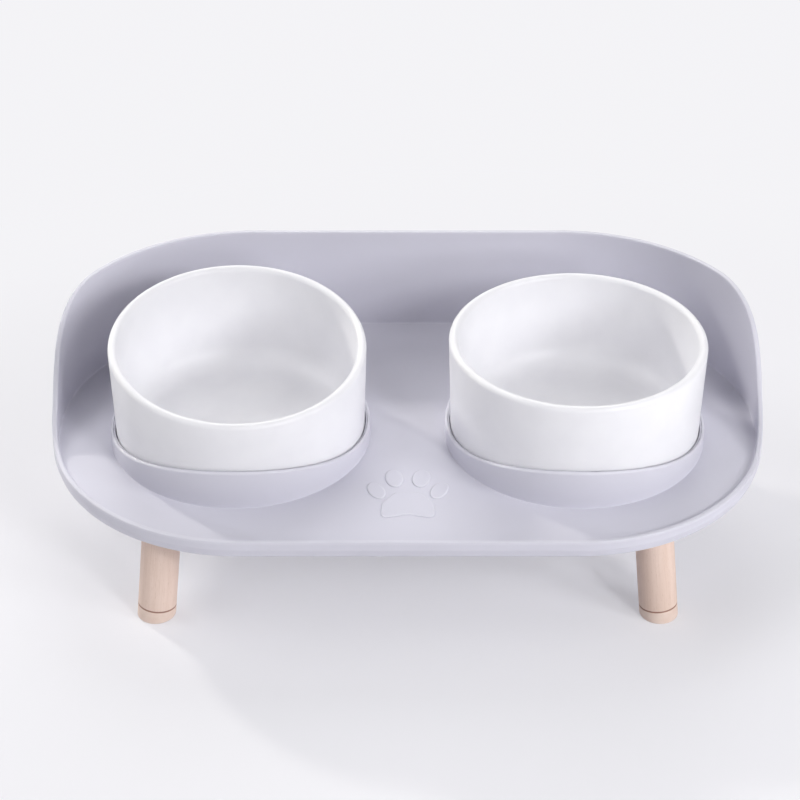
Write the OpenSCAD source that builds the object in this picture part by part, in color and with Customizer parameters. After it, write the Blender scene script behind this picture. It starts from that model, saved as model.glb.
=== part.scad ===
// Double pet bowl: a moulded tray with a splash guard stands on four splayed wooden legs,
// and two thick-walled bowls lift out of its round collars. Millimetres, +Z up. The origin
// is on the ground under the middle of the tray, and the guard is at the back, towards +Y.

/* [Tray] */
// Width of the tray over its walls
tray_w = 385; // [350:1:440]
// Depth of the tray over its walls
tray_d = 218; // [205:1:250]
// Straight length of each end, between its round corners
end_flat = 6.6; // [2:0.2:20]
// Height of the tray floor above the ground
deck_z = 65.5; // [50:0.5:90]
// Thickness of the tray floor
floor_t = 2.8; // [2:0.1:4]
// Thickness of the guard, the lip and the skirt
wall_t = 2.8; // [2:0.1:4]
// Height of the lip above the floor
lip_h = 2.5; // [1:0.1:6]
// Depth of the skirt below the floor's top face
skirt_h = 7.6; // [6:0.1:10]
// How far the skirt draws in at its lower edge
skirt_draft = 1.3; // [0.4:0.1:2]
// Rounding of the top edges of guard and lip
edge_r = 0.9; // [0.4:0.1:0.9]

/* [Splash guard] */
// Height of the guard above the floor
guard_h = 61; // [45:1:80]
// How far the guard's faces stand back from those of the lip below it
guard_step = 0.05; // [0.03:0.01:0.1]
// Steepest angle of the guard's falling edge, in degrees
guard_slope = 50; // [40:1:65]
// Distance from the tray's middle back to the middle of the falling edge
guard_fall_y = 10.5; // [-10:0.5:25]

/* [Collars] */
// Distance of each collar's axis to the side of the tray's middle
collar_x = 90.5; // [86:0.5:95]
// Distance of the collars' axes in front of the tray's middle
collar_y = 6.3; // [0:0.1:12]
// Wall thickness of a collar
collar_t = 2.3; // [1.6:0.1:3.5]
// Height of a collar at its front and back
collar_h = 23; // [16:0.5:32]
// Height of a collar at its sides, where fingers reach the bowl
collar_side_h = 8; // [4:0.5:14]
// Gap between a bowl's wall at its base and the collar
collar_gap = 1; // [0.9:0.1:2]

/* [Bowls] */
// Greatest radius of a bowl, at its rim
bowl_r = 68.6; // [62:0.2:70]
// How much smaller the radius is at the bowl's base
bowl_taper = 1.6; // [1:0.1:4]
// Thickness of a bowl's wall
bowl_wall = 4.8; // [3.5:0.1:6]
// Thickness of a bowl's floor
bowl_floor_t = 5; // [4:0.1:8]
// Height of the water bowl over its level rim
water_bowl_h = 60.5; // [45:0.5:80]
// Height of the food bowl in the middle of its oblique mouth
food_bowl_h = 57.5; // [45:0.5:75]
// Slant of the food bowl's mouth, in degrees
mouth_slant = 7; // [2:0.5:12]
// Turn of the food bowl's low side away from the front, in degrees
mouth_turn = 13; // [0:1:45]
// Outer radius of the corner between a bowl's wall and its floor
bowl_corner_r = 9; // [5:0.5:12]
// Radius of the foot ring that a bowl stands on
foot_ring_r = 50; // [40:1:54]
// Width of the foot ring
foot_ring_w = 5; // [3:0.5:8]
// Height of the foot ring
foot_ring_h = 1.5; // [1:0.1:2.5]

/* [Legs] */
// Radius of a wooden leg
leg_r = 10.2; // [8:0.1:12]
// Distance of a leg's top from the end of the tray
leg_end_gap = 64.3; // [58.5:0.2:77]
// Distance of a leg's top from the front or back edge of the tray
leg_edge_gap = 32.7; // [30:0.1:44]
// Splay of a leg from upright, in degrees
leg_splay = 7.5; // [3:0.5:12]
// Heading of the splay from sideways towards front or back, in degrees
leg_heading = 40; // [0:1:60]
// Depth of a leg's seat below the top of the tray floor
seat_drop = 9.5; // [9.3:0.1:12]
// Height of a foot cap along the leg
foot_h = 6.8; // [5:0.1:10]
// Chamfer that makes the joint line between leg and foot cap
joint_chamfer = 0.5; // [0.2:0.1:1]
// Chamfer round the sole of a foot cap
sole_chamfer = 0.9; // [0.4:0.1:1.5]

/* [Leg fixings] */
// Outer radius of the boss over a leg
boss_r = 12.5; // [11:0.1:14]
// Outer radius of a threaded insert
insert_r = 4.5; // [4:0.1:6]
// Length of a threaded insert
insert_l = 6.5; // [5:0.1:6.7]
// Radius of a hanger stud
stud_r = 3; // [2:0.1:3.5]
// Length of the stud inside the leg
stud_leg_l = 18; // [12:0.5:24]
// Length of the stud inside the insert
stud_insert_l = 6; // [4:0.1:6.4]
// Radial gap in which the stud's thread runs
thread_gap = 0.05; // [0.02:0.01:0.1]
// Length of the foot cap's spigot inside the leg
spigot_l = 8; // [5:0.5:12]

/* [Ribs] */
// Thickness of a rib under the floor
rib_t = 1.8; // [1.2:0.1:2.5]
// Depth of the ribs below the floor's underside
rib_h = 3.4; // [2:0.1:4]

/* [Paw relief] */
// Width of the paw's main pad
paw_w = 30; // [20:0.5:34]
// Depth of the paw's main pad
paw_d = 22.8; // [16:0.2:26]
// Distance of the pad's middle in front of the tray's middle
paw_y = 74; // [66:0.5:82]
// Height of the relief above the floor
paw_h = 0.6; // [0.3:0.1:1]

/* [Hidden] */
$fn = 128;

// One overrun for every cut
cut = 1;
// Gap between a seated piece and what carries it
seat_gap = 0.3;
// Gap round a piece that is pressed or glued in
glue_gap = 0.05;

plastic_colour = [0.80, 0.79, 0.83];
glaze_colour = [0.96, 0.96, 0.97];
wood_colour = [0.87, 0.76, 0.66];
cap_colour = [0.85, 0.73, 0.64];
brass_colour = [0.80, 0.65, 0.35];
steel_colour = [0.70, 0.71, 0.73];

// Tray
corner_r = (tray_d - end_flat) / 2;
corner_x = tray_w / 2 - corner_r;
corner_y = end_flat / 2;
// The fall starts inside the lip, just under its rounding, and ends a little over the guard:
// both distances as shares of the rounding
fall_low_share = 1.2;
fall_high_share = 0.5;
fall_z0 = lip_h - fall_low_share * edge_r;
fall_z1 = guard_h + fall_high_share * edge_r;
fall_h = fall_z1 - fall_z0;
// Share of the guard's fall that its two bends take up
bend_share = 0.73;
// Share of a bend's radius by which it reaches past the straight lines
lap_share = 0.001;
bend_r = bend_share * fall_h / (2 * (1 - cos(guard_slope)));
bend_run = bend_r * sin(guard_slope);
fall_run = 2 * bend_run + (1 - bend_share) * fall_h / tan(guard_slope);
fall_y0 = guard_fall_y - fall_run / 2;
fall_y1 = guard_fall_y + fall_run / 2;

// Collars
bowl_base_r = bowl_r - bowl_taper;
collar_in_r = bowl_base_r + collar_gap;
collar_out_r = collar_in_r + collar_t;
saddle_drop = collar_h - collar_side_h;
saddle_r = (collar_out_r * collar_out_r + saddle_drop * saddle_drop) / (2 * saddle_drop);

// Bowls
rim_r = bowl_wall / 2;
// How much thicker than the wall the oblique rim is, as a share of the rim's radius
bead_share = 0.2;
bowl_z = deck_z + seat_gap;
water_rim_z = water_bowl_h - rim_r;
food_rim_z = food_bowl_h - rim_r;
inner_corner_r = bowl_corner_r + bowl_wall;

// Legs
leg_x = tray_w / 2 - leg_end_gap;
leg_y = tray_d / 2 - leg_edge_gap;
seat_z = deck_z - seat_drop;
leg_reach = seat_z / cos(leg_splay);
leg_end = leg_reach - foot_h;
bore_l = insert_l + seat_gap;
// Chamfer at the tip of a stud, as a share of its radius
stud_tip_share = 0.25;

// Paw: each toe's place and size as shares of the pad's width and depth
toe_x_shares = [0.58, 0.242];
toe_y_shares = [0.57, 1.05];
toe_w_shares = [0.15, 0.165];
toe_d_shares = [0.335, 0.35];
toe_turns = [22, 8];
lobe_share = 0.265;
crown_share = 0.30;

// Left and right, front and back, in the order of the nodes' names
left = -1;
right = 1;
front = -1;
back = 1;

// Round-ended outline of the tray, drawn in by some distance
module tray_outline(inset) {
    for (x = [-corner_x, corner_x], y = [-corner_y, corner_y])
        translate([x, y]) circle(r = corner_r - inset);
    square([2 * corner_x, tray_d - 2 * inset], center = true);
    square([tray_w - 2 * inset, end_flat], center = true);
}

// Carries a section once round the tray: its x runs outwards from the corners' centres
module round_the_tray() {
    for (side = [0, 1]) rotate([0, 0, 180 * side]) {
        translate([-corner_x, corner_y, 0]) rotate([90, 0, 90])
            linear_extrude(2 * corner_x) children();
        translate([corner_x, corner_y, 0]) rotate([90, 0, 0])
            linear_extrude(end_flat) children();
        translate([corner_x, corner_y, 0]) rotate_extrude(angle = 90) children();
        translate([-corner_x, corner_y, 0]) rotate([0, 0, 90])
            rotate_extrude(angle = 90) children();
    }
}

// Section of an upright wall with two rounded top edges, whose faces stand back by some step
module wall_section(low_z, high_z, step) {
    in_r = corner_r - wall_t + step;
    out_r = corner_r - step;
    translate([in_r, low_z]) square([out_r - in_r, high_z - edge_r - low_z]);
    translate([in_r + edge_r, low_z])
        square([out_r - in_r - 2 * edge_r, high_z - low_z]);
    for (x = [in_r + edge_r, out_r - edge_r])
        translate([x, high_z - edge_r]) circle(r = edge_r);
}

// Section of the skirt, drawn in towards its lower edge
module skirt_section() {
    polygon([
        [corner_r - skirt_draft - wall_t, -skirt_h],
        [corner_r - skirt_draft, -skirt_h],
        [corner_r, -floor_t],
        [corner_r - wall_t, -floor_t]
    ]);
}

// Side view of what is cut away over the lip: the guard falls to it in two equal bends,
// whose circles reach a hair past the straight lines so that line and circle truly cross
module fall_cut() {
    bend_h = bend_share * fall_h / 2;
    lap = lap_share * bend_r;
    difference() {
        union() {
            polygon([
                [-tray_d / 2 - cut, fall_z0 + lap],
                [fall_y0, fall_z0 + lap],
                [fall_y0, fall_z0 + bend_r],
                [fall_y0 + bend_run - lap, fall_z0 + bend_h],
                [fall_y1 - bend_run + lap, fall_z1 - bend_h],
                [fall_y1, fall_z1 - bend_h],
                [fall_y1, fall_z0 + 2 * bend_r + cut],
                [-tray_d / 2 - cut, fall_z0 + 2 * bend_r + cut]
            ]);
            translate([fall_y0, fall_z0 + bend_r]) circle(r = bend_r);
        }
        translate([fall_y1, fall_z1 - bend_r - lap]) circle(r = bend_r);
    }
}

module wall() {
    round_the_tray() {
        skirt_section();
        wall_section(-floor_t, lip_h, 0);
    }
    difference() {
        round_the_tray() wall_section(-floor_t / 2, guard_h, guard_step);
        translate([-tray_w / 2 - cut, 0, 0]) rotate([90, 0, 90])
            linear_extrude(tray_w + 2 * cut) fall_cut();
    }
}

// Collar whose top edge dips at the sides, cut by one large cylinder lying across it
module collar() {
    difference() {
        translate([0, 0, -floor_t / 2])
            cylinder(r = collar_out_r, h = collar_h + floor_t / 2 + cut);
        cylinder(r = collar_in_r, h = collar_h + 2 * cut);
        translate([-collar_out_r - cut, 0, collar_side_h + saddle_r]) rotate([0, 90, 0])
            cylinder(r = saddle_r, h = 2 * (collar_out_r + cut), $fn = 360);
    }
}

// Ribs under the floor: a ring under each collar and straight ribs between the walls
module rib_plan() {
    intersection() {
        tray_outline(wall_t);
        union() {
            for (x = [-collar_x, collar_x]) translate([x, -collar_y]) difference() {
                circle(r = collar_in_r + rib_t / 2);
                circle(r = collar_in_r - rib_t / 2);
            }
            for (x = [-collar_x, 0, collar_x])
                translate([x, 0]) square([rib_t, tray_d], center = true);
            translate([0, -collar_y]) square([tray_w, rib_t], center = true);
            for (y = [-leg_y, leg_y])
                translate([0, y]) square([2 * leg_x, rib_t], center = true);
        }
    }
}

function oval(a, b, count) =
    [for (i = [0 : count - 1]) [a * cos(360 * i / count), b * sin(360 * i / count)]];

// Common paw shape: a three-lobed pad and four oval toes
module paw_plan() {
    lobe_r = lobe_share * paw_w;
    crown_r = crown_share * paw_w;
    lobe_x = paw_w / 2 - lobe_r;
    lobe_y = lobe_r - paw_d / 2;
    crown_y = paw_d / 2 - crown_r;
    for (x = [-lobe_x, lobe_x]) translate([x, lobe_y]) circle(r = lobe_r);
    translate([0, crown_y]) circle(r = crown_r);
    polygon([
        [-paw_w / 2, lobe_y], [-crown_r, crown_y], [crown_r, crown_y], [paw_w / 2, lobe_y],
        [lobe_x, lobe_y - lobe_r / 2], [0, lobe_y - lobe_r / 2], [-lobe_x, lobe_y - lobe_r / 2]
    ]);
    for (side = [left, right], i = [0, 1])
        translate([side * toe_x_shares[i] * paw_w, toe_y_shares[i] * paw_d])
            rotate(-side * toe_turns[i])
                polygon(oval(toe_w_shares[i] * paw_w, toe_d_shares[i] * paw_d, 32));
}

// Puts a piece on a leg's own axis: its zero is the leg's seat, and the leg runs down -Z
module on_leg(side, end) {
    heading = end * side * leg_heading + (side < 0 ? 180 : 0);
    translate([side * leg_x, end * leg_y, seat_z]) rotate([0, 0, heading])
        rotate([0, -leg_splay, 0]) children();
}

// Boss on a leg's axis that ends inside the floor plate
module boss(side, end) {
    difference() {
        on_leg(side, end) cylinder(r = boss_r, h = seat_drop + boss_r);
        translate([side * leg_x, end * leg_y, deck_z - floor_t / 2])
            cylinder(r = 2 * boss_r, h = seat_drop + 2 * boss_r);
    }
}

module tray() {
    color(plastic_colour) difference() {
        union() {
            translate([0, 0, deck_z]) {
                wall();
                translate([0, 0, -floor_t]) linear_extrude(floor_t) tray_outline(wall_t / 2);
                for (x = [-collar_x, collar_x]) translate([x, -collar_y, 0]) collar();
                translate([0, 0, -floor_t - rib_h]) linear_extrude(rib_h + floor_t / 2)
                    rib_plan();
                translate([0, -paw_y, -floor_t / 2]) linear_extrude(floor_t / 2 + paw_h)
                    paw_plan();
            }
            for (side = [left, right], end = [front, back]) boss(side, end);
        }
        for (side = [left, right], end = [front, back]) on_leg(side, end)
            translate([0, 0, -boss_r]) cylinder(r = insert_r + glue_gap, h = boss_r + bore_l);
    }
}

// Radius of a bowl's outer wall at some height over its foot, for a rim of some height
function wall_r(z, rim_z) =
    bowl_base_r + bowl_taper * (z - bowl_corner_r) / (rim_z - bowl_corner_r);

// Half section of a bowl without its rim, up to some height
module bowl_section(top_z, rim_z) {
    in_z = bowl_floor_t + foot_ring_h;
    in_r = bowl_base_r - bowl_wall;
    difference() {
        union() {
            polygon([
                [0, foot_ring_h],
                [bowl_base_r - bowl_corner_r, foot_ring_h],
                [bowl_base_r - bowl_corner_r, bowl_corner_r + foot_ring_h],
                [wall_r(bowl_corner_r + foot_ring_h, rim_z), bowl_corner_r + foot_ring_h],
                [wall_r(top_z, rim_z), top_z],
                [0, top_z]
            ]);
            translate([bowl_base_r - bowl_corner_r, bowl_corner_r + foot_ring_h])
                circle(r = bowl_corner_r);
            translate([foot_ring_r - foot_ring_w, 0])
                square([foot_ring_w, 2 * foot_ring_h]);
        }
        translate([-bowl_r, 0]) square([bowl_r, bowl_r + top_z]);
        polygon([
            [0, in_z],
            [in_r - inner_corner_r, in_z],
            [in_r - inner_corner_r, in_z + inner_corner_r],
            [wall_r(in_z + inner_corner_r, rim_z) - bowl_wall, in_z + inner_corner_r],
            [wall_r(top_z + cut, rim_z) - bowl_wall, top_z + cut],
            [0, top_z + cut]
        ]);
        translate([in_r - inner_corner_r, in_z + inner_corner_r])
            circle(r = inner_corner_r);
    }
}

// Bowl with a level mouth and a full-round rim
module water_bowl() {
    color(glaze_colour) translate([collar_x, -collar_y, bowl_z]) rotate_extrude() {
        bowl_section(water_rim_z, water_rim_z);
        translate([bowl_r - rim_r, water_rim_z]) circle(r = rim_r);
    }
}

// Bowl whose wall is cut on the slant and closed by a round rim on the same slant
module food_bowl() {
    slope_h = bowl_r * tan(mouth_slant);
    high_z = food_rim_z + 2 * slope_h;
    mouth_r = (bowl_r - rim_r) * (1 + 1 / cos(mouth_slant)) / 2;
    // The wall widens upwards, so the rim's middle lies towards the high side
    mouth_shift = bowl_taper * slope_h / (food_rim_z - bowl_corner_r);
    color(glaze_colour) translate([-collar_x, -collar_y, bowl_z])
        rotate([0, 0, mouth_turn]) {
            difference() {
                rotate_extrude() bowl_section(high_z, food_rim_z);
                translate([0, 0, food_rim_z]) rotate([mouth_slant, 0, 0])
                    cylinder(r = 2 * bowl_r, h = 2 * high_z);
            }
            translate([0, 0, food_rim_z]) rotate([mouth_slant, 0, 0])
                translate([0, mouth_shift, 0]) rotate_extrude()
                    translate([mouth_r, 0]) circle(r = (1 + bead_share) * rim_r);
        }
}

module leg(side, end) {
    color(wood_colour) on_leg(side, end) difference() {
        translate([0, 0, -leg_end]) rotate_extrude() polygon([
            [0, 0],
            [leg_r - joint_chamfer, 0],
            [leg_r, joint_chamfer],
            [leg_r, leg_end - seat_gap - joint_chamfer],
            [leg_r - joint_chamfer, leg_end - seat_gap],
            [0, leg_end - seat_gap]
        ]);
        translate([0, 0, -stud_leg_l - seat_gap])
            cylinder(r = stud_r + glue_gap, h = stud_leg_l + seat_gap + cut);
        translate([0, 0, -leg_end - cut])
            cylinder(r = stud_r + glue_gap, h = spigot_l + seat_gap + cut);
    }
}

// Steel stud: wood thread below in the leg, machine thread above in the insert
module stud(side, end) {
    tip = stud_tip_share * stud_r;
    color(steel_colour) on_leg(side, end) translate([0, 0, -stud_leg_l])
        rotate_extrude() polygon([
            [0, 0],
            [stud_r - 2 * tip, 0],
            [stud_r, 2 * tip],
            [stud_r, stud_leg_l + stud_insert_l - tip],
            [stud_r - tip, stud_leg_l + stud_insert_l],
            [0, stud_leg_l + stud_insert_l]
        ]);
}

// Brass insert with two gripping bands, pressed into the boss from below
module insert(side, end) {
    band = insert_l / 3;
    waist_r = (insert_r + stud_r) / 2 + thread_gap;
    color(brass_colour) on_leg(side, end) rotate_extrude() polygon([
        [stud_r + thread_gap, 0],
        [insert_r, 0],
        [insert_r, band],
        [waist_r, band],
        [waist_r, 2 * band],
        [insert_r, 2 * band],
        [insert_r, insert_l],
        [stud_r + thread_gap, insert_l]
    ]);
}

// Foot cap on the leg's axis, with its sole level on the ground
module foot(side, end) {
    sole_x = side * (leg_x + seat_z * tan(leg_splay) * cos(leg_heading));
    sole_y = end * (leg_y + seat_z * tan(leg_splay) * sin(leg_heading));
    color(cap_colour) intersection() {
        on_leg(side, end) translate([0, 0, -leg_end]) rotate_extrude() polygon([
            [0, -foot_h - leg_r],
            [leg_r, -foot_h - leg_r],
            [leg_r, -joint_chamfer],
            [leg_r - joint_chamfer, 0],
            [stud_r, 0],
            [stud_r, spigot_l],
            [0, spigot_l]
        ]);
        translate([sole_x, sole_y, 0]) cylinder(
            r1 = leg_r - sole_chamfer, r2 = leg_r - sole_chamfer + foot_h + spigot_l + leg_r,
            h = foot_h + spigot_l + leg_r
        );
    }
}

tray();
food_bowl();
water_bowl();
leg(left, front);  // leg_front_left
leg(right, front);  // leg_front_right
leg(left, back);  // leg_back_left
leg(right, back);  // leg_back_right
stud(left, front);  // stud_front_left
stud(right, front);  // stud_front_right
stud(left, back);  // stud_back_left
stud(right, back);  // stud_back_right
insert(left, front);  // insert_front_left
insert(right, front);  // insert_front_right
insert(left, back);  // insert_back_left
insert(right, back);  // insert_back_right
foot(left, front);  // foot_front_left
foot(right, front);  // foot_front_right
foot(left, back);  // foot_back_left
foot(right, back);  // foot_back_right
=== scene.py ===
import bpy
import numpy as np
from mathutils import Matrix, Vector


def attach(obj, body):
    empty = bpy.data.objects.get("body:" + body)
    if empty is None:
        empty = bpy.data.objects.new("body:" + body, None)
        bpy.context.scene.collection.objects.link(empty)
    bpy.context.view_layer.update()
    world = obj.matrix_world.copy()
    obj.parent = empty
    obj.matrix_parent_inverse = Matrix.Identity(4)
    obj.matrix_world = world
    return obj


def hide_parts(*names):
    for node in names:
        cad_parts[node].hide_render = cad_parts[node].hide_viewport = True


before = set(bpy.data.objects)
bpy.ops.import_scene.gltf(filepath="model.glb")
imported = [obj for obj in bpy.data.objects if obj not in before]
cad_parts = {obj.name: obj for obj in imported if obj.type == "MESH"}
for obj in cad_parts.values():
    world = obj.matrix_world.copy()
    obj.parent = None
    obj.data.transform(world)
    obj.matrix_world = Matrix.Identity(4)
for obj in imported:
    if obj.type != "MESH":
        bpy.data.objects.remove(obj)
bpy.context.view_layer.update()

# Tray: one injection moulding in a fine-grained pale plastic. A low lip runs round the floor
# and rises at both ends, in an S-curve, to the splash guard behind. A skirt turns down below.
# Lengths here and in all sections are in metres.
tray_w, tray_d, end_flat = 0.385, 0.218, 0.0066
deck_z, floor_t, wall_t = 0.0655, 0.0028, 0.0028
lip_h, guard_h, skirt_h, skirt_draft = 0.0025, 0.0610, 0.0076, 0.0013
edge_r, fillet_r, fillet_top = 0.0008, 0.0009, 0.0010
corner_r = (tray_d - end_flat) / 2
corner_x, corner_y = tray_w / 2 - corner_r, end_flat / 2


def arc_corner(before, corner, after, radius, steps):
    """Points of an arc of that radius, tangent to the lines before-corner and corner-after."""
    before, corner, after = (np.asarray(p, float) for p in (before, corner, after))
    a, b = before - corner, after - corner
    a, b = a / np.linalg.norm(a), b / np.linalg.norm(b)
    half = np.arccos(np.clip(a @ b, -1, 1)) / 2
    centre = corner + (a + b) / np.linalg.norm(a + b) * radius / np.sin(half)
    start, end = (corner + d * radius / np.tan(half) - centre for d in (a, b))
    sweep = np.arctan2(start[0] * end[1] - start[1] * end[0], start @ end)
    t = np.linspace(0, sweep, steps)
    turned = np.stack([-start[1], start[0]])
    return centre + np.outer(np.cos(t), start) + np.outer(np.sin(t), turned)


def rounded(corners, radii, steps=7):
    """Polyline through the corners, each inner corner rounded to its radius (0 keeps it sharp).
    One more point beyond both ends of each arc keeps the flats flat. It lies 0.35 of the radius
    away, but no further than a quarter of the way to the next corner."""
    corners = np.asarray(corners, float)
    path = [corners[:1]]
    for i, radius in enumerate(radii, 1):
        if radius == 0:
            path.append(corners[i : i + 1])
            continue
        arc = arc_corner(corners[i - 1], corners[i], corners[i + 1], radius, steps)
        flats = (corners[i - 1] - arc[0], corners[i + 1] - arc[-1])
        reach = [min(0.25, 0.35 * radius / max(np.linalg.norm(flat), 1e-9)) for flat in flats]
        path += [arc[:1] + reach[0] * flats[0], arc, arc[-1:] + reach[1] * flats[1]]
    return np.concatenate(path + [corners[-1:]])


def skin(grid, wrap_v=False, caps=(False, False), polished_highlight_rows=(), polish_and_highlight_share=1.0):
    """Points and faces of a grid of points: u runs round, v runs along. A cap closes the first
    or the last row of v with one face. The faces are turned so that the volume is positive.
    The third result is the share of smoothing and painted highlight on the listed rows of v, and 0 on
    the others."""
    nu, nv = grid.shape[:2]
    index = np.arange(nu * nv).reshape(nu, nv)
    index = np.concatenate([index, index[:1]])
    if wrap_v:
        index = np.concatenate([index, index[:, :1]], axis=1)
    quads = np.stack([index[:-1, :-1], index[1:, :-1], index[1:, 1:], index[:-1, 1:]], axis=-1)
    points = grid.reshape(-1, 3)
    faces = quads.reshape(-1, 4)
    corners = points[faces]
    middle = points.mean(0)
    normal = np.cross(corners[:, 2] - corners[:, 0], corners[:, 3] - corners[:, 1])
    outward = np.sum((corners.mean(1) - middle) * normal)
    ends = []
    ring = np.arange(nu)
    if caps[0]:
        ends.append((ring * nv)[::-1].tolist())
    if caps[1]:
        ends.append((ring * nv + nv - 1).tolist())
    faces = faces.tolist() + ends
    if outward < 0:
        faces = [face[::-1] for face in faces]
    return points, faces, np.tile(polish_and_highlight_share * np.isin(np.arange(nv), polished_highlight_rows), nu)


def build(name, skins, flat=()):
    """One object from several skins; those whose number is in flat are shaded flat."""
    points, faces, smooth, polish_and_painted_highlight = [], [], [], []
    for number, (some_points, some_faces, some_polish_and_highlight) in enumerate(skins):
        start = sum(len(p) for p in points)
        points.append(some_points)
        polish_and_painted_highlight.append(some_polish_and_highlight)
        faces += [[start + i for i in face] for face in some_faces]
        smooth += [number not in flat] * len(some_faces)
    mesh = bpy.data.meshes.new(name)
    mesh.from_pydata(np.concatenate(points), [], faces)
    mesh.polygons.foreach_set("use_smooth", smooth)
    # The stored attribute carries the smoothed edges and their painted highlight, read by the plastic's
    # finish.
    mesh.attributes.new("polish_and_painted_highlight", "FLOAT", "POINT").data.foreach_set("value", np.concatenate(polish_and_painted_highlight))
    mesh.update()
    piece = bpy.data.objects.new(name, mesh)
    bpy.context.scene.collection.objects.link(piece)
    return piece


def tray_line(per_corner=96, per_side=44, per_end=5):
    """Once round the tray: the point on the inner rectangle of corner centres, and the outward
    direction there. A wall point at some inset lies at centre + (corner_r - inset) * outward."""
    signs = np.array([(1, 1), (-1, 1), (-1, -1), (1, -1)])
    nodes = signs * (corner_x, corner_y)
    centres, angles = [], []
    for k in range(4):
        quarter = (k + np.arange(per_corner) / per_corner) * np.pi / 2
        centres.append(np.repeat(nodes[k : k + 1], per_corner, axis=0))
        angles.append(quarter)
        count = per_side if k % 2 == 0 else per_end
        t = (np.arange(count) / count)[:, None]
        centres.append(nodes[k] + t * (nodes[(k + 1) % 4] - nodes[k]))
        angles.append(np.full(count, (k + 1) * np.pi / 2))
    angle = np.concatenate(angles)
    return np.concatenate(centres), np.stack([np.cos(angle), np.sin(angle)], axis=1)


def wall_height(y):
    """Height of the wall over the floor: the lip in front, the guard behind, and between them
    two arcs of one radius, joined by a short straight line at the steepest slope."""
    slope, arc_share, middle = np.radians(50), 0.73, 0.0105
    rise = guard_h - lip_h
    radius = arc_share * rise / (2 * (1 - np.cos(slope)))
    run = radius * np.sin(slope)
    half = run + (1 - arc_share) * rise / np.tan(slope) / 2
    t = np.abs(y - middle)
    straight = t * np.tan(slope)
    bend = rise / 2 - radius + np.sqrt(np.maximum(radius**2 - np.clip(half - t, 0, run) ** 2, 0))
    up = np.where(t < half - run, straight, np.where(t < half, bend, rise / 2))
    return lip_h + rise / 2 + np.sign(y - middle) * up


def wall_skin():
    """The whole plate: from the middle of its underside down the skirt's inner face, up the
    outer face, over the rounded top edge, down to the floor's fillet, and to its middle."""
    centre, out = tray_line()
    tip = wall_t / 2
    top = wall_height(centre[:, 1] + (corner_r - tip) * out[:, 1]) - tip
    skirt_in, skirt_radii = wall_t + skirt_draft, [0.0008, 0.0005, 0.0009, 0.0012]
    below_in, above_in, side = 0.0090, 0.0080, 0.0030
    skirt = rounded(
        [
            (below_in, -floor_t), (wall_t, -floor_t), (skirt_in, -skirt_h),
            (skirt_draft, -skirt_h), (0, -floor_t), (0, -floor_t / 2),
        ],
        skirt_radii,
    )
    lap = rounded([(0, -side), (0, 0), (wall_t, 0), (wall_t, -side)], [edge_r, edge_r])[1:-1]
    fillet = rounded([(wall_t, fillet_top), (wall_t, 0), (above_in, 0)], [fillet_r])[1:]
    # One row for each point of the section: inset, fixed height, share of the top's height,
    # and how far it lies from the rounding, which keeps the tall faces flat
    rows = [(s, z, 0, 0) for s, z in skirt]
    rows += [(0, -floor_t / 2, 0, 1), (0, 0, 1, -1)]
    first_lap = len(rows)
    rows += [(s, tip + z, 1, 0) for s, z in lap]
    # The rows over the rounded top edge are smoother and carry a painted highlight, a lighter line, at
    # 0.4 of full.
    polished_highlight_rows = np.arange(first_lap, len(rows))
    rows += [(wall_t, 0, 1, -1)]
    rows += [(s, z, 0, 0) for s, z in fillet]
    inset, fixed, follows, apart = np.array(rows).T
    most_room, room_share, least_step = 0.0006, 0.2, 0.00002
    room = np.minimum(most_room, room_share * (top + floor_t / 2))
    height = fixed + follows * top[:, None] + apart * room[:, None]
    inner_lap = (inset == wall_t) & (apart < 0)
    height = np.where(inner_lap, np.maximum(height, fillet_top + least_step), height)
    plan = centre[:, None] + (corner_r - inset)[None, :, None] * out[:, None]
    grid = np.concatenate([plan, deck_z + height[..., None]], axis=2)
    return skin(grid, caps=(True, True), polished_highlight_rows=polished_highlight_rows, polish_and_highlight_share=0.4)


# Its two collars: rings that rise from the floor round each bowl. Their top edge dips at the
# sides, where fingers reach the bowl, as if a big cylinder along the row had been cut out.
collar_x, collar_y = 0.0905, -0.0063
collar_out, collar_in, collar_h, collar_side_h = 0.0703, 0.0677, 0.0230, 0.0080
collar_edge_radii, collar_foot_r = [0.0014, 0.0009], 0.0003


def collar_skin(side, count=256):
    """Ring whose section has rounded top edges and a small fillet at the floor, and whose top
    follows collar_side_h + saddle - sqrt(saddle^2 - y^2) round the ring."""
    drop = collar_h - collar_side_h
    saddle = (collar_out**2 + drop**2) / (2 * drop)
    turn = 2 * np.pi * np.arange(count) / count
    across = (collar_out + collar_in) / 2 * np.sin(turn)
    top = collar_side_h + saddle - np.sqrt(saddle**2 - across**2)
    toe, sunk, deep, wall, side_h = collar_out + 0.0008, 0.00002, 0.0010, 0.0030, 0.0060
    foot = rounded([(toe, -sunk), (collar_out, 0), (collar_out, wall)], [collar_foot_r], 5)
    low = np.concatenate([[(collar_in, -deep), (toe, -deep)], foot])
    edge = rounded(
        [(collar_out, -side_h), (collar_out, 0), (collar_in, 0), (collar_in, -side_h)],
        collar_edge_radii,
        11,
    )[1:-1]
    radius = np.concatenate([low[:, 0], edge[:, 0]])
    fixed = np.concatenate([low[:, 1], edge[:, 1]])
    follows = np.concatenate([np.zeros(len(low)), np.ones(len(edge))])
    grid = np.empty((count, len(radius), 3))
    grid[..., 0] = side * collar_x + radius * np.cos(turn)[:, None]
    grid[..., 1] = collar_y + radius * np.sin(turn)[:, None]
    grid[..., 2] = deck_z + fixed + follows * top[:, None]
    # The rows of the top edge are smoother and carry a painted highlight, a lighter line, at half of
    # full.
    return skin(grid, wrap_v=True, polished_highlight_rows=np.arange(len(low), len(radius)), polish_and_highlight_share=0.5)


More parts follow.
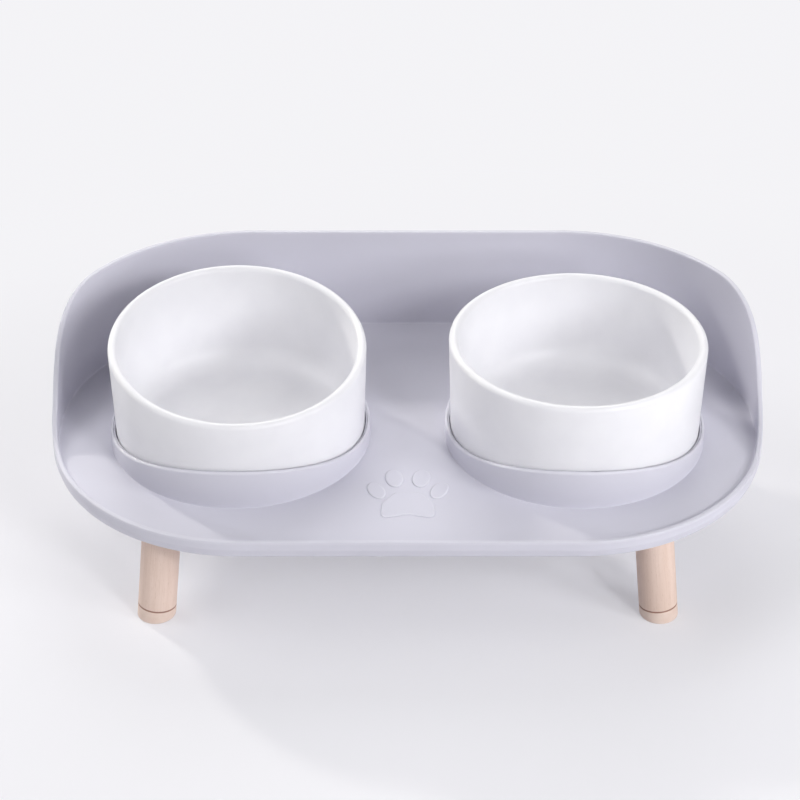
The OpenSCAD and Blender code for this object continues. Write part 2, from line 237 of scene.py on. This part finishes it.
# Its paw relief: four oval toes and a broad pad in front of the middle, raised a little, with
# short rounded flanks that carry a painted highlight, a lighter line. Places and sizes are shares of
# paw_w and paw_d.
paw_w, paw_d, paw_y, paw_h, flank = 0.0288, 0.0228, -0.0740, 0.0007, 0.0010


def relief_skin(x, y, reach, turn):
    """Low cushion on the floor: reach is its outline's radius at each turn. Its flank rises as
    a quarter of an ellipse, steep at the outline and level inside, over the flank's width."""
    sunk, root, core_share = 0.00003, 0.0006, 0.15
    t = np.concatenate([[0, 0], 1 - np.cos(np.radians(np.linspace(12, 90, 9)))])
    # From row first_bright on, the flank is smoother and carries a painted highlight.
    first_bright = 5
    edge = np.arange(first_bright, len(t) - 1)
    z = deck_z - sunk + paw_h * np.sqrt(1 - (1 - t) ** 2)
    z[0] = deck_z - root
    inward = np.concatenate([flank * t, [2 * flank]])
    radius = np.concatenate([reach[:, None] - inward, core_share * reach[:, None]], axis=1)
    grid = np.empty((len(turn), len(inward) + 1, 3))
    grid[..., 0] = x + radius * np.cos(turn)[:, None]
    grid[..., 1] = y + radius * np.sin(turn)[:, None]
    grid[..., 2] = np.concatenate([z, z[-1:], z[-1:]])
    return skin(grid, caps=(True, True), polished_highlight_rows=edge)


def toe_skin(side, across, along, half_w, half_d, lean):
    """Oval toe: radius of an ellipse in polar form, turned by its lean in degrees."""
    half_w, half_d = half_w * paw_w, half_d * paw_d
    turn = 2 * np.pi * np.arange(96) / 96
    local = turn + side * np.radians(lean)
    reach = half_w * half_d / np.hypot(half_d * np.cos(local), half_w * np.sin(local))
    return relief_skin(side * across * paw_w, paw_y + along * paw_d, reach, turn)


def pad_skin():
    """Main pad: an outline with rounded corners, domed above and drawn in a little below,
    turned into its radius at each turn."""
    right_shares = [(1.0, -1.02), (0.96, 0.12), (0.47, 1.0)]
    radii, low_r = [0.0031, 0.0062, 0.0066], 0.0140
    low = np.array([0, -0.70]) * (paw_w / 2, paw_d / 2)
    right = np.array(right_shares) * (paw_w / 2, paw_d / 2)
    left = right[::-1] * (-1, 1)
    open_path = np.concatenate([[(low + right[0]) / 2], right, left, [(left[-1] + low) / 2]])
    path = rounded(open_path, radii + radii[::-1], 9)
    path = np.concatenate([path, arc_corner(left[-1], low, right[0], low_r, 9)])
    angle = np.arctan2(path[:, 1], path[:, 0])
    order = np.argsort(angle)
    turn = 2 * np.pi * np.arange(192) / 192
    reach = np.interp(turn, angle[order], np.hypot(*path[order].T), period=2 * np.pi)
    return relief_skin(0, paw_y, reach, turn)


# Its underside: thin ribs between the walls, a ring rib below each collar, and four short
# bosses, square to the legs, each with a blind bore for a threaded insert.
leg_x, leg_y, seat_z = 0.1282, 0.0763, 0.0560
splay, heading = np.radians(7.5), np.radians(40)
rib_t, rib_low, rib_root = 0.0018, -0.0062, 0.0020
boss_r, insert_r, insert_lead_r, insert_depth = 0.0125, 0.00455, 0.0048, 0.0068
seat_gap = 0.0003


def leg_axis(side, end):
    """The seat's middle, the direction down the leg, and two directions square to it."""
    level = np.array([side * np.cos(heading), end * np.sin(heading)]) * np.sin(splay)
    down = np.array([*level, -np.cos(splay)])
    across = np.cross(down, (0, 1, 0))
    across /= np.linalg.norm(across)
    return np.array([side * leg_x, end * leg_y, seat_z]), down, across, np.cross(down, across)


def turned_skin(axis, profile, level=(), closed=False, count=96):
    """Turned body: each (radius, distance down the axis) is a ring. The rings in level are
    slid along the axis until they lie in a level plane, and their distance is its height.
    A closed profile makes a ring, and any other ends in two caps."""
    seat, down, across, aside = axis
    turn = 2 * np.pi * np.arange(count) / count
    radius, along = np.array(profile).T
    ring = np.cos(turn)[:, None] * across + np.sin(turn)[:, None] * aside
    offset = radius[None, :, None] * ring[:, None]
    slid = (along - seat[2] - offset[..., 2]) / down[2]
    distance = np.where(np.isin(np.arange(len(radius)), level), slid, along)
    ends = (not closed, not closed)
    return skin(seat + offset + distance[..., None] * down, wrap_v=closed, caps=ends)


def rib_skin(start, end):
    """Straight rib as a bar between two points, thinner at its lower edge."""
    start, end = np.array(start), np.array(end)
    along = (end - start) / np.linalg.norm(end - start)
    across = np.array([-along[1], along[0]])
    half = rib_t / 2 * np.array([1, -1, -0.8, 0.8])
    height = deck_z + np.array([-rib_root, -rib_root, rib_low, rib_low])
    plan = np.stack([start, end])[:, None] + half[None, :, None] * across
    grid = np.concatenate([plan, np.broadcast_to(height[None, :, None], (2, 4, 1))], axis=2)
    return skin(grid.transpose(1, 0, 2), caps=(True, True))


def ring_rib_skin(side):
    """Ring rib below a collar, turned about the collar's own axis."""
    axis = (
        np.array([side * collar_x, collar_y, deck_z]), np.array([0, 0, -1.0]),
        np.array([1.0, 0, 0]), np.array([0, -1.0, 0]),
    )
    half = rib_t / 2
    profile = [
        (collar_in - half, rib_root), (collar_in + half, rib_root),
        (collar_in + 0.8 * half, -rib_low), (collar_in - 0.8 * half, -rib_low),
    ]
    return turned_skin(axis, profile, closed=True, count=160)


def boss_skin(side, end):
    """Boss that ends level inside the floor, with the insert's bore open at its lower face."""
    round_r, wall = 0.0006, 0.0030
    lower = rounded([(boss_r, -wall), (boss_r, 0), (insert_lead_r, 0)], [round_r], 5)[::-1]
    profile = [(insert_r, -insert_depth), (insert_r, -seat_gap), (insert_lead_r, 0)]
    profile += lower[1:].tolist() + [(boss_r, deck_z - floor_t / 2)]
    return turned_skin(leg_axis(side, end), profile, level=[len(profile) - 1])


outer_toe = {"across": 0.575, "along": 0.57, "half_w": 0.155, "half_d": 0.335, "lean": 22}
inner_toe = {"across": 0.247, "along": 1.05, "half_w": 0.171, "half_d": 0.350, "lean": 8}
tray_skins = [wall_skin(), collar_skin(-1), collar_skin(1), pad_skin()]
for side in (-1, 1):
    tray_skins += [toe_skin(side, **outer_toe), toe_skin(side, **inner_toe)]
for side in (-1, 1):
    tray_skins += [boss_skin(side, -1), boss_skin(side, 1)]
first_rib = len(tray_skins)
tray_skins += [ring_rib_skin(-1), ring_rib_skin(1)]
rib_gap = 0.0004
inner = corner_r - wall_t - rib_gap
for x in (-collar_x, 0, collar_x):
    reach = corner_y + np.sqrt(inner**2 - max(abs(x) - corner_x, 0) ** 2)
    tray_skins.append(rib_skin((x, -reach), (x, reach)))
tray_skins.append(rib_skin((-corner_x - inner, collar_y), (corner_x + inner, collar_y)))
for y in (-leg_y, leg_y):
    tray_skins.append(rib_skin((-leg_x, y), (leg_x, y)))
tray = build("tray_moulding", tray_skins, flat=range(first_rib, len(tray_skins)))


class Wire:
    """A number that varies over a surface: sums, products and so on add their Math nodes."""

    def __init__(self, finish, socket):
        self.finish, self.socket = finish, socket

    def _math(self, operation, *values):
        """One Math node on the values, as a new Wire."""
        node = self.finish.add("ShaderNodeMath", {"operation": operation}, dict(enumerate(values)))
        return Wire(self.finish, node.outputs[0])

    def __add__(self, other):
        return self._math("ADD", self, other)

    def __radd__(self, other):
        return self._math("ADD", other, self)

    def __sub__(self, other):
        return self._math("SUBTRACT", self, other)

    def __rsub__(self, other):
        return self._math("SUBTRACT", other, self)

    def __mul__(self, other):
        return self._math("MULTIPLY", self, other)

    def __rmul__(self, other):
        return self._math("MULTIPLY", other, self)

    def step(self, low, high):
        """0 below low, 1 above high, and a smooth rise between."""
        node = self.finish.add(
            "ShaderNodeMapRange", {"interpolation_type": "SMOOTHSTEP"},
            {"Value": self, "From Min": low, "From Max": high},
        )
        return Wire(self.finish, node.outputs["Result"])


class Finish:
    """A material, or a world, and its nodes."""

    def __init__(self, name, kind="materials"):
        self.data = getattr(bpy.data, kind).new(name)
        self.data.use_nodes = True
        self.tree = self.data.node_tree
        self.tree.nodes.clear()

    def add(self, kind, settings=None, sockets=None):
        """A node of that kind, with settings on itself, and values or links on its sockets."""
        node = self.tree.nodes.new(kind)
        for key, value in (settings or {}).items():
            setattr(node, key, value)
        for key, value in (sockets or {}).items():
            if isinstance(value, Wire):
                value = value.socket
            if isinstance(value, bpy.types.NodeSocket):
                self.tree.links.new(value, node.inputs[key])
            else:
                node.inputs[key].default_value = value
        return node

    def place(self, scale=(1, 1, 1), attribute=None):
        """Object coordinates, or a stored attribute of the piece, stretched by scale."""
        if attribute:
            source = self.add("ShaderNodeAttribute", {"attribute_name": attribute}).outputs["Vector"]
        else:
            source = self.add("ShaderNodeTexCoord").outputs["Object"]
        return self.add("ShaderNodeMapping", None, {"Vector": source, "Scale": scale}).outputs["Vector"]

    def coordinate(self, axis, attribute=None):
        """One coordinate (0, 1 or 2) of Object coordinates, or of a stored place."""
        node = self.add("ShaderNodeSeparateXYZ", None, {0: self.place(attribute=attribute)})
        return Wire(self, node.outputs[axis])

    def noise(self, place, scale, detail, roughness=0.5):
        """Noise from 0 to 1, with as many finer layers as detail says."""
        node = self.add(
            "ShaderNodeTexNoise", None,
            {"Vector": place, "Scale": scale, "Detail": detail, "Roughness": roughness},
        )
        return Wire(self, node.outputs["Fac"])

    def mix(self, mask, first, second):
        """Colour that goes from first to second as the mask goes from 0 to 1."""
        node = self.add("ShaderNodeMix", {"data_type": "RGBA"}, {0: mask, 6: first, 7: second})
        return node.outputs[2]

    def bump(self, height, depth, strength):
        """Normal of a relief in which a height of 1 stands for the depth in metres."""
        node = self.add(
            "ShaderNodeBump", None, {"Height": height, "Distance": depth, "Strength": strength},
        )
        return node.outputs["Normal"]

    def surface(self, sockets):
        """Closes the material with one Principled shader and returns it."""
        shader = self.add("ShaderNodeBsdfPrincipled", None, sockets)
        self.add("ShaderNodeOutputMaterial", None, {"Surface": shader.outputs[0]})
        return self.data


def plastic_finish():
    """Pale lavender-grey plastic: a fine spark-eroded grain and a slight cloudiness. Along the
    rounded edges the grain is smoothed away, so they are less rough, and they carry a painted
    highlight: a slightly lighter line."""
    finish = Finish("tray_plastic")
    shade, tint, painted_highlight_tone = (0.620, 0.612, 0.690, 1), (0.640, 0.632, 0.710, 1), (0.76, 0.755, 0.82, 1)
    place = finish.place()
    grain = finish.noise(place, 2600, 2)
    cloud = finish.noise(place, 14, 3)
    stored = finish.add("ShaderNodeAttribute", {"attribute_name": "polish_and_painted_highlight"})
    polish_and_painted_highlight = Wire(finish, stored.outputs["Fac"])
    return finish.surface({
        # The lighter tone along the edges is a painted highlight.
        "Base Color": finish.mix(0.55 * polish_and_painted_highlight, finish.mix(cloud.step(0.3, 0.7), shade, tint), painted_highlight_tone),
        "Roughness": 0.40 + 0.10 * grain - 0.20 * polish_and_painted_highlight,
        "Specular IOR Level": 0.24,
        "Normal": finish.bump(grain, 0.00003, 0.6),
    })


tray.data.materials.append(plastic_finish())
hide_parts("tray")
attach(tray, "tray")

# Threaded inserts: turned brass, pressed into the bosses from below. They stay as the solids
# are built, with the fine rings that the turning tool leaves.


def metal_finish(name, light, dark, roughness):
    """Turned metal: fine rings of lighter and darker tone from the cutting tool."""
    finish = Finish(name)
    rings = finish.noise(finish.place((200, 200, 5200)), 1, 2)
    return finish.surface({
        "Base Color": finish.mix(rings.step(0.3, 0.7), dark, light),
        "Metallic": 1.0,
        "Roughness": roughness + 0.15 * rings,
        "Normal": finish.bump(rings, 0.00002, 0.5),
    })


brass = metal_finish("turned_brass", (0.83, 0.63, 0.28, 1), (0.70, 0.50, 0.20, 1), 0.25)
steel = metal_finish("zinc_steel", (0.70, 0.71, 0.73, 1), (0.52, 0.53, 0.56, 1), 0.30)
names = ["front_left", "front_right", "back_left", "back_right"]
for name in names:
    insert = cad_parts[f"insert_{name}"]
    insert.data.materials.clear()
    insert.data.materials.append(brass)

# Hanger studs: zinc-plated steel, glued into the top of each leg and screwed into the insert
# above it. They stay as the solids are built too.
for name in names:
    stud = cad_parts[f"stud_{name}"]
    stud.data.materials.clear()
    stud.data.materials.append(steel)

# Legs: round dowels of pale beech under a clear matt lacquer, bored at both ends, with a
# small chamfer above the foot cap. A fine dark line is painted there, a glue stain and painted shade
# where the chamfers meet.
leg_r, foot_h = 0.0102, 0.0068
leg_len = seat_z / np.cos(splay) - foot_h
stud_bore, stud_bore_l, spigot_bore_l = 0.00305, 0.0183, 0.0083
# How far from the leg's end the joint's painted stain and shade sets in and is full, on the leg and the
# cap
joint_chamfer, groove_leg, groove_cap = 0.0005, (0.0007, 0.0004), (0.0006, 0.0003)
joint_stain_and_shade = (0.36, 0.20, 0.15, 1)
# Each leg's grain is moved on by this much from the one before, so that no two are alike
next_grain = np.array([0.05, 0.03, 0])
places = {name: (1 if "right" in name else -1, 1 if "back" in name else -1) for name in names}


def keep_turned_place(piece, axis, shift):
    """Stores at each point its place in the leg's own frame, for grain that runs along it."""
    seat, down, across, aside = axis
    count = len(piece.data.vertices)
    flat = np.empty(count * 3)
    piece.data.vertices.foreach_get("co", flat)
    local = (flat.reshape(-1, 3) - seat) @ np.stack([across, aside, down], axis=1) + shift
    stored = piece.data.attributes.new("turned_place", "FLOAT_VECTOR", "POINT")
    stored.data.foreach_set("vector", local.ravel())


def beech_finish():
    """Beech along the leg's axis: broad pinkish bands, fine fibres, and short dark flecks."""
    finish = Finish("beech")
    early, late = (0.73, 0.56, 0.475, 1), (0.79, 0.625, 0.545, 1)
    fibre, fleck = (0.64, 0.47, 0.38, 1), (0.52, 0.35, 0.26, 1)
    bands = finish.noise(finish.place((150, 150, 9), "turned_place"), 1, 3)
    fibres = finish.noise(finish.place((1500, 1500, 60), "turned_place"), 1, 3, 0.6)
    flecks = finish.noise(finish.place((2300, 2300, 420), "turned_place"), 1, 1)
    wood = finish.mix(bands.step(0.3, 0.7), early, late)
    wood = finish.mix(0.40 * fibres.step(0.45, 0.75), wood, fibre)
    wood = finish.mix(0.2 * flecks.step(0.60, 0.72), wood, fleck)
    along = finish.coordinate(2, "turned_place")
    # Painted shade and glue stain at the joint: darker at the leg's end next to the cap.
    groove_stain_and_shade = along.step(leg_len - groove_leg[0], leg_len - groove_leg[1])
    return finish.surface({
        "Base Color": finish.mix(groove_stain_and_shade, wood, joint_stain_and_shade),
        "Roughness": 0.52 + 0.2 * fibres,
        "Normal": finish.bump(fibres + 0.6 * flecks, 0.00005, 0.6),
    })


beech = beech_finish()
shoulder_r, chamfer_r = 0.0006, 0.0002
leg_profile = rounded(
    [
        (stud_bore, stud_bore_l), (stud_bore, seat_gap), (leg_r, seat_gap),
        (leg_r, leg_len - joint_chamfer), (leg_r - joint_chamfer, leg_len),
        (stud_bore, leg_len), (stud_bore, leg_len - spigot_bore_l),
    ],
    [0, shoulder_r, chamfer_r, 0, 0],
    5,
)
for number, name in enumerate(names):
    axis = leg_axis(*places[name])
    leg = build(f"beech_leg_{name}", [turned_skin(axis, leg_profile)])
    keep_turned_place(leg, axis, number * next_grain)
    leg.data.materials.append(beech)
    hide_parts(f"leg_{name}")
    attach(leg, f"leg_{name}")

# Foot caps: soft caps in the colour of the wood, pressed into the leg's end on a spigot, with
# the sole cut so that it lies flat on the ground.
spigot_r, spigot_l, cap_side, sole_r, sole_in = 0.0030, 0.0080, 0.0012, 0.0009, 0.0016


def cap_finish():
    """Matt elastomer with a fine even grain and slightly darker clouds."""
    finish = Finish("foot_cap")
    place = finish.place(attribute="turned_place")
    grain = finish.noise(place, 2200, 2)
    cloud = finish.noise(place, 160, 2)
    rubber = finish.mix(cloud.step(0.3, 0.7), (0.74, 0.58, 0.50, 1), (0.79, 0.64, 0.56, 1))
    along = finish.coordinate(2, "turned_place")
    # Painted shade and glue stain at the joint: darker at the cap's top next to the leg.
    groove_stain_and_shade = along.step(leg_len + groove_cap[0], leg_len + groove_cap[1])
    return finish.surface({
        "Base Color": finish.mix(groove_stain_and_shade, rubber, joint_stain_and_shade),
        "Roughness": 0.55 + 0.2 * grain,
        "Normal": finish.bump(grain, 0.00004, 0.5),
    })


cap_rubber = cap_finish()
cap_top = [
    (spigot_r, leg_len - spigot_l), (spigot_r, leg_len), (leg_r - joint_chamfer, leg_len),
    (leg_r, leg_len + joint_chamfer), (leg_r, leg_len + cap_side),
]
lap = np.radians(np.linspace(0, 90, 7))
sole = np.stack([leg_r - sole_r * (1 - np.cos(lap)), sole_r * (1 - np.sin(lap))], axis=1)
cap_profile = np.concatenate([cap_top, sole, [(leg_r - sole_in, 0)]])
level_rings = np.arange(len(cap_top), len(cap_profile))
for number, name in enumerate(names):
    axis = leg_axis(*places[name])
    foot = build(f"foot_cap_{name}", [turned_skin(axis, cap_profile, level_rings)])
    keep_turned_place(foot, axis, number * next_grain)
    foot.data.materials.append(cap_rubber)
    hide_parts(f"foot_{name}")
    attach(foot, f"leg_{name}")

# Water bowl: slip-cast white stoneware, glazed all over but for the foot ring it stood on in
# the kiln. The wall leans out a little and ends in a full-round level rim.
bowl_r, bowl_taper, bowl_wall, bowl_z = 0.0686, 0.00145, 0.0048, deck_z + seat_gap
base_r, rim_r = bowl_r - bowl_taper, bowl_wall / 2
corner_out, corner_in, floor_z, lean_from = 0.0060, 0.0138, 0.0065, 0.0090
ring_in, ring_out, ring_h, ring_draft = 0.0450, 0.0500, 0.0015, 0.0005
water_rim = 0.0605 - rim_r


def bowl_skin(side, rim_z, height, count=256):
    """Bowl turned about its own axis. rim_z is the height at which the wall has its full
    radius; height gives the middle of the rim's round at each turn and radius."""
    turn = 2 * np.pi * np.arange(count) / count

    def wall_radius(z):
        """Outer radius: grows evenly with z, from base_r at lean_from to bowl_r at rim_z."""
        return base_r + bowl_taper * (z - lean_from) / (rim_z - lean_from)

    outer_from, inner_from, root_r, lip_r = 0.02, 0.03, 0.0007, 0.0006
    under = rounded(
        [
            (0, ring_h), (ring_in, ring_h), (ring_in + ring_draft, 0), (ring_out, 0),
            (ring_out + ring_draft, ring_h), (base_r, ring_h), (wall_radius(outer_from), outer_from),
        ],
        [root_r, lip_r, lip_r, root_r, corner_out],
        9,
    )[1:]
    inner_wall = wall_radius(inner_from) - bowl_wall
    inside = rounded(
        [(inner_wall, inner_from), (base_r - bowl_wall, floor_z), (0, floor_z)], [corner_in], 13,
    )[:-1]
    # Wall rows lie at fixed shares of the way up to the rim, so that they follow a slant
    up_shares, lap = np.array([0.35, 0.7, 0.97]), np.pi * np.linspace(0, 1, 17)
    mid = height(turn, bowl_r - rim_r)[:, None]
    outer_z = outer_from + up_shares * (mid - outer_from)
    inner_z = inner_from + up_shares[::-1] * (mid - inner_from)
    every = np.ones_like(mid)
    radius = np.concatenate([
        every * under[:, 0], wall_radius(outer_z), wall_radius(mid) - rim_r + rim_r * np.cos(lap),
        wall_radius(inner_z) - bowl_wall, every * inside[:, 0],
    ], axis=1)
    z = np.concatenate([
        every * under[:, 1], outer_z, mid + rim_r * np.sin(lap), inner_z, every * inside[:, 1],
    ], axis=1)
    x = side * collar_x + radius * np.cos(turn)[:, None]
    y = collar_y + radius * np.sin(turn)[:, None]
    return skin(np.stack([x, y, bowl_z + z], axis=2), caps=(True, True))


def glaze_finish():
    """White glaze, faintly uneven, over stoneware that shows bare and matt under the foot."""
    finish = Finish("white_glaze")
    thin, thick, clay_tone = (0.832, 0.828, 0.862, 1), (0.853, 0.849, 0.880, 1), (0.66, 0.61, 0.54, 1)
    glaze_from, glaze_full = bowl_z + 0.0004, bowl_z + 0.0009
    place = finish.place()
    bare = 1 - finish.coordinate(2).step(glaze_from, glaze_full)
    ripple = finish.noise(place, 55, 2)
    clay = finish.noise(place, 1800, 3)
    white = finish.mix(ripple.step(0.3, 0.7), thin, thick)
    return finish.surface({
        "Base Color": finish.mix(bare, white, clay_tone),
        "Roughness": 0.34 + 0.04 * ripple + bare * (0.4 + 0.1 * clay),
        "Specular IOR Level": 0.38,
        "Normal": finish.bump(ripple + bare * clay, 0.00012, 0.35),
    })


def level_rim(turn, radius):
    """Height of the level rim's middle, the same all the way round."""
    return np.full_like(turn, water_rim)


glaze = glaze_finish()
water = build("glazed_water_bowl", [bowl_skin(1, water_rim, level_rim)])
water.data.materials.append(glaze)
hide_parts("water_bowl")
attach(water, "water_bowl")

# Food bowl: the same body with an oblique mouth, low in front and high behind, which makes it
# easy to reach into. The wall's top and the full-round rim both follow the slant.
food_rim = 0.0575 - rim_r
slant, low_side = np.radians(7), np.radians(-90 + 13)


def slanting_rim(turn, radius):
    """Height of the slanting rim's middle: a plane that falls towards the low side."""
    return food_rim - radius * np.tan(slant) * np.cos(turn - low_side)


food = build("glazed_food_bowl", [bowl_skin(-1, food_rim, slanting_rim)])
food.data.materials.append(glaze)
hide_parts("food_bowl")
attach(food, "food_bowl")

# Studio: a plain pale floor, soft lamps round the object, and a small low lamp behind it on the
# left, as from a window, that throws a long shadow towards the front right.
pale = (0.905, 0.900, 0.925, 1)


def seen(finish):
    """1 where the camera sees a surface directly, in gloss or through glass, otherwise 0."""
    path = finish.add("ShaderNodeLightPath")
    kinds = ["Is Camera Ray", "Is Glossy Ray", "Is Transmission Ray"]
    camera_ray, glossy_ray, clear_ray = (Wire(finish, path.outputs[kind]) for kind in kinds)
    return camera_ray + glossy_ray + clear_ray


def floor_finish():
    """Plain matt floor that takes light and shadow near the object. Where it is seen, a part
    of it is its own even tone, and far from the object all of it, as on a lit sweep."""
    finish = Finish("studio_floor")
    matt = finish.add("ShaderNodeBsdfPrincipled", None, {
        "Base Color": (0.868, 0.863, 0.898, 1), "Roughness": 1.0, "Specular IOR Level": 0.0,
    })
    near_tone, near_share = (0.875, 0.868, 0.905, 1), 0.38
    lit_middle, lit_reach, even_from = (0.03, -0.20, 0), 0.32, 0.62
    apart = finish.add(
        "ShaderNodeVectorMath", {"operation": "DISTANCE"}, {0: finish.place(), 1: lit_middle},
    )
    far = Wire(finish, apart.outputs["Value"]).step(lit_reach, even_from)
    tone = finish.mix(far, near_tone, pale)
    even = finish.add("ShaderNodeEmission", None, {"Color": tone, "Strength": 1})
    share = (near_share + (1 - near_share) * far) * seen(finish)
    both = finish.add("ShaderNodeMixShader", None, {0: share, 1: matt.outputs[0], 2: even.outputs[0]})
    finish.add("ShaderNodeOutputMaterial", None, {"Surface": both.outputs[0]})
    return finish.data


floor_half = 8
floor_corners = [(-1, -1, 0), (1, -1, 0), (1, 1, 0), (-1, 1, 0)]
floor_mesh = bpy.data.meshes.new("studio_floor")
floor_mesh.from_pydata(floor_half * np.array(floor_corners), [], [(0, 1, 2, 3)])
studio_floor = bpy.data.objects.new("studio_floor", floor_mesh)
bpy.context.scene.collection.objects.link(studio_floor)
floor_mesh.materials.append(floor_finish())


def soft_lamp(name, angles, size, power, away_by=1.8, colour=(1, 1, 1), spread=180):
    """Square lamp that faces the object from its azimuth (0 in front, 90 right) and elevation.
    Angles are in degrees, size and away_by in metres, and power in watts. A spread under 180
    degrees keeps its light near the way it faces, as a grid does."""
    aim_z = 0.08
    turn, rise = np.radians(angles)
    away = Vector((np.sin(turn) * np.cos(rise), -np.cos(turn) * np.cos(rise), np.sin(rise)))
    data = bpy.data.lights.new(name, "AREA")
    data.size, data.energy, data.color, data.spread = size, power, colour, np.radians(spread)
    lamp = bpy.data.objects.new(name, data)
    lamp.location = Vector((0, 0, aim_z)) + away_by * away
    lamp.rotation_euler = away.to_track_quat("Z", "Y").to_euler()
    bpy.context.scene.collection.objects.link(lamp)


soft_lamp("window_lamp", (227, 24.5), 0.14, 1.55, 1.88, (1, 0.98, 0.90), 60)
soft_lamp("back_lamp", (180, 45), 1.2, 13.2)
soft_lamp("high_key_lamp", (45, 55), 1.2, 3.1)
soft_lamp("key_lamp", (35, 32), 0.35, 8.2)
soft_lamp("low_key_lamp", (35, 15), 0.35, 5.7)
soft_lamp("side_lamp", (60, 25), 0.5, 9.6)
soft_lamp("left_lamp", (-90, 50), 1.2, 10.3)
soft_lamp("front_lamp", (-68, 25), 1.2, 5.2)

sky = Finish("studio_sky", "worlds")
dim = (0.019, 0.019, 0.020, 1)
backdrop = sky.add("ShaderNodeBackground", None, {"Color": sky.mix(seen(sky), dim, pale)})
sky.add("ShaderNodeOutputWorld", None, {"Surface": backdrop.outputs[0]})
bpy.context.scene.world = sky.data

# Camera: stands in front of the tray and looks down on it at the photograph's angle, with the
# same perspective. The focal length and the frame's width are in pixels of the photograph.
pitch, distance = np.radians(33.71), 1.23907
film, focal_px, frame_px = 36, 2281.19, 800
target = np.array([-0.0041, 0, deck_z + 0.01668])
lens = bpy.data.cameras.new("view")
lens.sensor_width, lens.lens = film, film * focal_px / frame_px
camera = bpy.data.objects.new("view", lens)
camera.location = target + distance * np.array([0, -np.cos(pitch), np.sin(pitch)])
camera.rotation_euler = (np.pi / 2 - pitch, 0, 0)
bpy.context.scene.collection.objects.link(camera)
bpy.context.scene.camera = camera
bpy.context.scene.view_settings.view_transform = "Standard"
